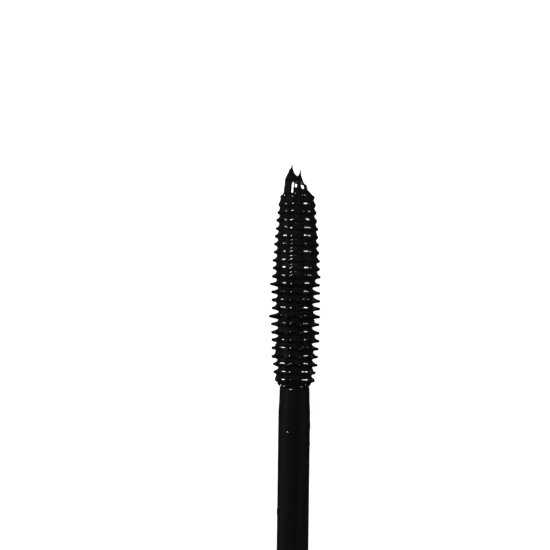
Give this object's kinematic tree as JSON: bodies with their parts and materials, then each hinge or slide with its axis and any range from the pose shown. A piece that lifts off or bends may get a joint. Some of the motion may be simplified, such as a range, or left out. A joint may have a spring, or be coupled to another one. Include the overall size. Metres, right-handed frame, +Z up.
{
  "type": "mascara tube",
  "caption": "Soft-square mascara tube with a turn-lock cap that carries a stem and a moulded comb brush wet with black paste.",
  "frame": {"origin": "centre of the underside: on the pack's long centre line, at the surface it lies on", "axes": "+Z up from the surface, +Y along the pack from the cap's closed end to the tube's base, +X to the right of both"},
  "size_m": [0.0164, 0.218, 0.0165],
  "materials": {
    "pack_shell": "gloss black moulded shell",
    "trim_metal": "dark anodised, satin, bright edge",
    "vial_plastic": "smooth black moulding",
    "wiper_plastic": "soft natural polyethylene, stained at the lip",
    "mascara": "wet black paste",
    "weight_steel": "plain turned",
    "liner_plastic": "fine matt black moulding",
    "washer_foam": "pale soft sealing foam",
    "stem_plastic": "smooth black, wet with paste",
    "brush_elastomer": "moulded black elastomer"
  },
  "bodies": {
    "tube": {"sleeve": "pack_shell", "shoulder_collar": "trim_metal", "base_plug": "pack_shell", "vial": "vial_plastic", "wiper": "wiper_plastic", "mascara_bulk": "mascara", "base_weight": "weight_steel"},
    "washer": {"seal_washer": "washer_foam"},
    "cap_and_wand": {"cap_shell": "pack_shell", "cap_end_plate": "trim_metal", "cap_trim_ring": "trim_metal", "cap_weight": "weight_steel", "inner_cap": "liner_plastic", "stem": "stem_plastic", "brush_core": "brush_elastomer", "bristle_row_01": "brush_elastomer", "bristle_row_02": "brush_elastomer", "bristle_row_03": "brush_elastomer", "bristle_row_04": "brush_elastomer", "bristle_row_05": "brush_elastomer", "bristle_row_06": "brush_elastomer", "bristle_row_07": "brush_elastomer", "bristle_row_08": "brush_elastomer", "bristle_row_09": "brush_elastomer", "bristle_row_10": "brush_elastomer", "mascara_coat": "mascara", "mascara_tip": "mascara"}
  },
  "joints": [
    {"name": "wand_pull", "type": "slide", "parent": "tube", "child": "washer", "axis": [0, 1, 0], "range_m": [0, 0.09555], "deforming": ["wiper"]},
    {"name": "cap_turn", "type": "hinge", "parent": "washer", "child": "cap_and_wand", "pos_m": [0, -0.0715, 0.00825], "axis": [0, 1, 0], "range_deg": [0, 90]}
  ]
}
